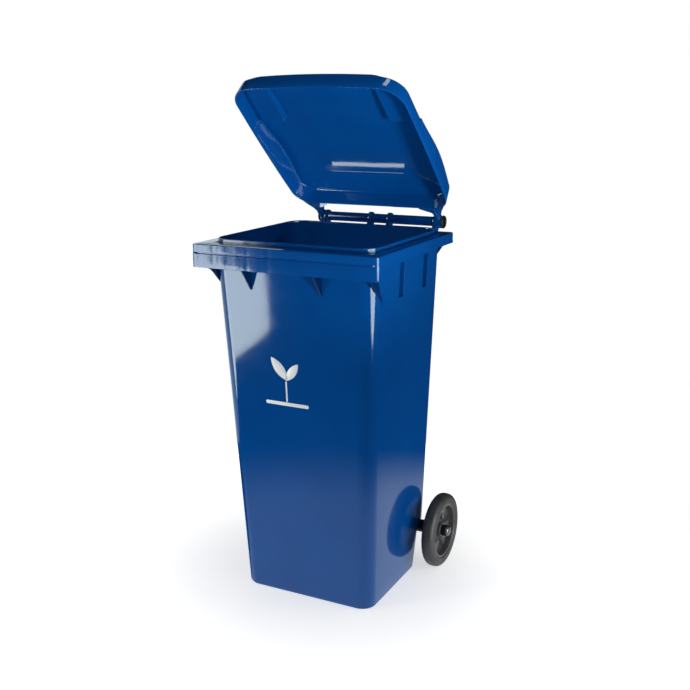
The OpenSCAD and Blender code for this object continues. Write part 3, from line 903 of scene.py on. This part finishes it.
def leaf(cx, cz, length, width, tilt):
    points = []
    for k in range(2 * LEAF_STEPS):
        first = k < LEAF_STEPS
        t = k / LEAF_STEPS if first else 2 - k / LEAF_STEPS
        half = width / 2 * math.sin(math.pi * t) ** 0.8 * (1 if first else -1)
        u, v = half, (t - 0.5) * length
        a = math.radians(tilt)
        points.append((cx + u * math.cos(a) - v * math.sin(a), cz + u * math.sin(a) + v * math.cos(a)))
    return points


def bar_outline(cx, cz, w, h, r):
    x0, x1, z0, z1 = cx - w / 2, cx + w / 2, cz - h / 2, cz + h / 2
    return rounded([(x0, z0), (x1, z0), (x1, z1), (x0, z1)], [r] * 4, 6)


MARK_DEPTH, MARK_EDGE = (-0.6, 0.35), 0.12
mark = [leaf(-42, 612, 70, 26, 38), leaf(-8, 606, 58, 22, -38), bar_outline(-25, 556, 4, 52, 1.9),
    bar_outline(-25, 524, 118, 9, 4.4)]
finish_piece("front_mark", merged(*[extruded(shape, *MARK_DEPTH, front_place, MARK_EDGE) for shape in mark]),
    PAINT, ROOT, sharp=60)


# ---- stage: floor, lights, world and camera ----

FLOOR_R = 1.06
# emission: between these two radii it goes from the first strength to the second
FLOOR_GLOW = (0.15, FLOOR_R * 0.95, 0.52, 1.1)
MIRROR_GLOW = (0.58, FLOOR_R, 0.9, 0.0)
FLOOR_OUTLINE = [(FLOOR_R * math.cos(math.radians(a)), FLOOR_R * math.sin(math.radians(a)))
    for a in range(0, 360, 2)]
MIRROR_OUTLINE = [(FLOOR_R * math.cos(math.radians(a)), FLOOR_R * math.sin(math.radians(a)))
    for a in range(-160, 66, 3)] + [(0.10, 0.96), (0.10, -0.15), (-0.30, -0.15)]
MIRROR_LIFT = 0.0004
FLOOR_PATCHES = 3.0


def stage_face(name, ring, z, material):
    bm = bmesh.new()
    bm.faces.new(add_ring(bm, [(x, y, z) for x, y in ring]))
    bmesh.ops.recalc_face_normals(bm, faces=bm.faces)
    mesh = bpy.data.meshes.new(name)
    bm.to_mesh(mesh)
    bm.free()
    mesh.materials.append(material)
    obj = bpy.data.objects.new(name, mesh)
    bpy.context.scene.collection.objects.link(obj)
    return obj


def glow(nodes, links, b, span):
    """Makes a material's emission change with the distance from the middle of the floor."""
    coord, away = nodes.new("ShaderNodeTexCoord"), nodes.new("ShaderNodeVectorMath")
    away.operation = "LENGTH"
    links.new(coord.outputs["Object"], away.inputs[0])
    fade = map_range(nodes, links, away.outputs["Value"], *span)
    fade.interpolation_type = "SMOOTHSTEP"
    links.new(fade.outputs["Result"], b.inputs["Emission Strength"])


floor_material, nodes, links, b = new_material("pale_floor")
tone = colour_mix(nodes, links, noise(nodes, links, FLOOR_PATCHES), (0.90, 0.90, 0.905), (0.92, 0.92, 0.92))
links.new(tone.outputs["Color"], b.inputs["Base Color"])
b.inputs["Roughness"].default_value = 0.9
b.inputs["Specular IOR Level"].default_value = 0.1
b.inputs["Emission Color"].default_value = (1, 1, 1, 1)
glow(nodes, links, b, FLOOR_GLOW)
floor = stage_face("floor", FLOOR_OUTLINE, 0.0, floor_material)
floor.visible_glossy = False

# only reflections see this floor, which lets the tub mirror less of it than the camera sees
mirror_material, nodes, links, b = new_material("mirror_floor")
tone = colour_mix(nodes, links, noise(nodes, links, FLOOR_PATCHES), (0.74, 0.82, 0.84), (0.79, 0.88, 0.89))
b.inputs["Base Color"].default_value = (0, 0, 0, 1)
b.inputs["Specular IOR Level"].default_value = 0.0
links.new(tone.outputs["Color"], b.inputs["Emission Color"])
glow(nodes, links, b, MIRROR_GLOW)
mirror_floor = stage_face("mirror_floor", MIRROR_OUTLINE, MIRROR_LIFT, mirror_material)
for kind in ("camera", "diffuse", "shadow", "transmission"):
    setattr(mirror_floor, "visible_" + kind, False)

WHITE, WINDOW, SKY = (1, 1, 1), (0.88, 1.0, 0.95), (0.78, 0.95, 1.0)
STRIP_Z, STRIP_HEIGHT = 0.45, 1.25
LEFT_X = -1.10
# where each thin strip starts along y, its width and its radiance
STRIPS = ((-1.675, 0.035, 2.5), (-1.735, 0.045, 7.0), (-1.81, 0.03, 3.0), (-1.90, 0.02, 2.0))
# name, corner, two sides, radiance and tint, in metres; each light shines along the first side x the second
PANELS = [
    ("left_panel_low", (LEFT_X, -1.74, 0.06), (0, 0.99, 0), (0, 0, 0.39), 11.0, WINDOW),
    ("left_panel_high", (LEFT_X, -1.62, STRIP_Z), (0, 0.87, 0), (0, 0, STRIP_HEIGHT), 11.0, WINDOW),
    *[("left_strip", (LEFT_X, y, STRIP_Z), (0, width, 0), (0, 0, STRIP_HEIGHT), radiance, WINDOW)
        for y, width, radiance in STRIPS],
    ("left_dim_panel", (LEFT_X, -0.75, 0.0), (0, 2.35, 0), (0, 0, 1.7), 1.0, SKY),
    ("right_panel", (1.95, 0.15, 0.0), (0, -1.7, 0), (0, 0, 1.5), 9.0, WINDOW),
    ("top_panel", (0.25, -0.35, 2.5), (0, 0.5, 0), (0.3, 0, 0), 7.0, WINDOW),
    ("lid_strip", (-0.164, 0.2135, 0.945), (0.217, 0, 0), (0, 0.08, 0), 5.0, WINDOW)]
KEYS = [
    ("key", (-0.90, -1.60, 0.0), (-0.15, 0.45, 0), (0, 0, 0.85), 7.5, WHITE),
    ("side_key", (2.2, 1.6, 0.0), (0, -1.5, 0), (0, 0, 0.75), 6.5, WHITE),
    ("tub_fill", (-0.15, -0.15, 0.50), (0, 0, 0.33), (0.3, 0, 0), 1.2, WHITE)]


def area_light(name, corner, u, v, radiance, tint):
    corner, u, v = Vector(corner), Vector(u), Vector(v)
    data = bpy.data.lights.new(name, "AREA")
    data.shape = "RECTANGLE"
    data.size, data.size_y = u.length, v.length
    data.energy = radiance * math.pi * u.length * v.length
    data.color = tint
    obj = bpy.data.objects.new(name, data)
    bpy.context.scene.collection.objects.link(obj)
    x, y = u.normalized(), v.normalized()
    turned = Matrix((x, -y, -x.cross(y))).transposed().to_4x4()
    obj.matrix_world = Matrix.Translation(corner + (u + v) / 2) @ turned
    obj.visible_camera = False
    return obj


for row in PANELS:                      # seen by reflections only
    panel = area_light(*row)
    panel.visible_diffuse = False
    if row[0] == "right_panel":
        panel.data.shape = "ELLIPSE"
for row in KEYS:                        # they light, but no reflection shows them
    area_light(*row).visible_glossy = False


def spot_light(name, at, target, watts, cone, radius):
    data = bpy.data.lights.new(name, "SPOT")
    data.energy, data.spot_size, data.spot_blend = watts, math.radians(cone), 0.5
    data.shadow_soft_size = radius
    obj = bpy.data.objects.new(name, data)
    bpy.context.scene.collection.objects.link(obj)
    way = Vector(target) - Vector(at)
    obj.matrix_world = Matrix.Translation(at) @ way.to_track_quat("-Z", "Y").to_matrix().to_4x4()
    obj.visible_camera = obj.visible_glossy = False


spot_light("lid_fill", (2.0, -1.35, 0.80), (-0.06, 0.04, 1.19), 235.0, 21.0, 0.2)

# the world is white to the camera, soft to diffuse rays and nearly dark to reflections
WORLD_CAMERA, WORLD_DIFFUSE, WORLD_GLOSSY = 1.0, 0.28, 0.006
world = bpy.data.worlds.new("studio")
bpy.context.scene.world = world
world.use_nodes = True
nodes, links = world.node_tree.nodes, world.node_tree.links
path = nodes.new("ShaderNodeLightPath")
seen = nodes.new("ShaderNodeMix")
seen.inputs["A"].default_value = WORLD_DIFFUSE
seen.inputs["B"].default_value = WORLD_GLOSSY
links.new(path.outputs["Is Glossy Ray"], seen.inputs["Factor"])
white = nodes.new("ShaderNodeMix")
white.inputs["B"].default_value = WORLD_CAMERA
links.new(seen.outputs["Result"], white.inputs["A"])
links.new(path.outputs["Is Camera Ray"], white.inputs["Factor"])
nodes["Background"].inputs["Color"].default_value = (1, 1, 1, 1)
links.new(white.outputs["Result"], nodes["Background"].inputs["Strength"])

CAMERA_AT = Vector((1.12031, -2.14231, 1.23724))
CAMERA_YAW, CAMERA_PITCH, CAMERA_ROLL = 0.47855, -0.268537, -0.00566
CAMERA_LENS, CAMERA_SENSOR = 51.144, 36.0
CAMERA_SHIFT = (0.011819, 0.031881)


def add_camera():
    data = bpy.data.cameras.new("camera")
    data.sensor_width = CAMERA_SENSOR
    data.lens = CAMERA_LENS
    data.shift_x, data.shift_y = CAMERA_SHIFT
    data.clip_end = 50
    camera = bpy.data.objects.new("camera", data)
    bpy.context.scene.collection.objects.link(camera)
    level = math.cos(CAMERA_PITCH)
    ahead = Vector((-math.sin(CAMERA_YAW) * level, math.cos(CAMERA_YAW) * level, math.sin(CAMERA_PITCH)))
    right = Vector((math.cos(CAMERA_YAW), math.sin(CAMERA_YAW), 0))
    up = right.cross(ahead)
    rolled_right = right * math.cos(CAMERA_ROLL) + up * math.sin(CAMERA_ROLL)
    rolled_up = up * math.cos(CAMERA_ROLL) - right * math.sin(CAMERA_ROLL)
    turned = Matrix((rolled_right, rolled_up, -ahead)).transposed().to_4x4()
    camera.matrix_world = Matrix.Translation(CAMERA_AT) @ turned
    bpy.context.scene.camera = camera


add_camera()
bpy.context.scene.view_settings.view_transform = "Standard"
